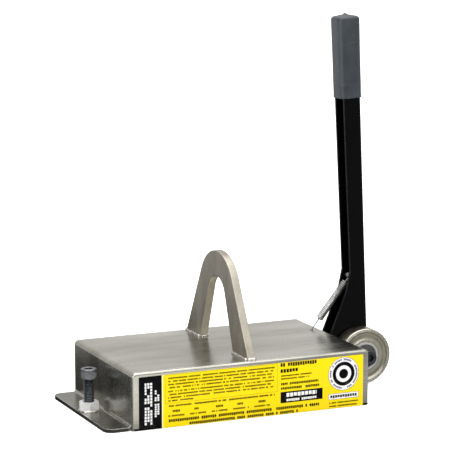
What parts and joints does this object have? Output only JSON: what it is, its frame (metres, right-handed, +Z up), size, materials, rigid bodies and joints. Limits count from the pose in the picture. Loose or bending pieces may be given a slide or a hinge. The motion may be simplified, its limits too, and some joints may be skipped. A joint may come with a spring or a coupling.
{
  "type": "lifting magnet",
  "caption": "Permanent lifting magnet in a welded stainless housing with an A-shaped bail, a sprung release lever that drives a roller, and a jack screw on an end flange.",
  "frame": {"origin": "centre of the working face, on the middle pole bar, straight under the lifting bail", "axes": "+X along the housing towards the release lever, +Y across it towards the back, +Z up"},
  "size_m": [0.4125, 0.1959, 0.4653],
  "materials": {
    "stainless_sheet": "brushed",
    "stainless_plate": "ground",
    "weld_metal": "as welded",
    "label_film": "printed gloss",
    "backing_alloy": "milled",
    "pole_steel": "ground",
    "magnet_block": "sintered",
    "potting_resin": "cast",
    "black_screw": "black oxide",
    "zinc_plated": "zinc plated",
    "bronze_bush": "machined",
    "black_paint": "gloss powder coat",
    "vinyl_grip": "satin dip",
    "wheel_steel": "turned",
    "race_steel": "ground",
    "shield_steel": "pressed"
  },
  "bodies": {
    "magnet_body": {"housing_shell": "stainless_sheet", "front_side_plate": "stainless_plate", "rear_side_plate": "stainless_plate", "lifting_bail": "stainless_plate", "bail_welds": "weld_metal", "label_plate": "label_film", "backing_plate": "backing_alloy", "pole_bar_1": "pole_steel", "pole_bar_2": "pole_steel", "pole_bar_3": "pole_steel", "pole_bar_4": "pole_steel", "pole_bar_5": "pole_steel", "magnet_row_1": "magnet_block", "magnet_row_2": "magnet_block", "magnet_row_3": "magnet_block", "magnet_row_4": "magnet_block", "potting": "potting_resin", "pole_screws": "black_screw", "jack_nut": "zinc_plated", "pivot_lug": "stainless_plate", "pivot_bush": "bronze_bush", "return_spring": "zinc_plated"},
    "lever": {"lever_channel": "black_paint", "hand_grip": "vinyl_grip", "pivot_pin": "zinc_plated", "pivot_washer": "zinc_plated", "pivot_clip": "black_screw", "spring_anchor_pin": "zinc_plated", "axle_screw": "black_screw", "axle_sleeve": "race_steel", "axle_spacer": "zinc_plated", "channel_spacer": "zinc_plated", "axle_washer": "zinc_plated", "lock_nut": "zinc_plated", "bearing_inner_races": "race_steel"},
    "roller": {"roller_wheel": "wheel_steel", "bearing_outer_races": "race_steel", "bearing_shields": "shield_steel"},
    "ball_sets": {"bearing_balls": "race_steel", "bearing_cages": "shield_steel"},
    "jack": {"jack_screw": "black_screw"}
  },
  "joints": [
    {"name": "release_lever", "type": "hinge", "parent": "magnet_body", "child": "lever", "pos_m": [0.1745, 0, 0.03], "axis": [0, 1, 0], "range_deg": [0, 60], "stiffness_Nm_per_rad": 1.2, "springref_deg": -45.84, "deforming": ["return_spring"]},
    {"name": "roller_spin", "type": "hinge", "parent": "lever", "child": "roller", "pos_m": [0.194, 0, 0.038], "axis": [0, 1, 0], "continuous": true},
    {"name": "ball_orbit", "type": "hinge", "parent": "lever", "child": "ball_sets", "pos_m": [0.194, 0, 0.038], "axis": [0, 1, 0], "continuous": true},
    {"name": "jack_travel", "type": "slide", "parent": "magnet_body", "child": "jack", "axis": [0, 0, -1], "range_m": [0, 0.026]}
  ],
  "couplings": [
    {"joint": "ball_orbit", "follows": "roller_spin", "ratio": 0.619}
  ]
}
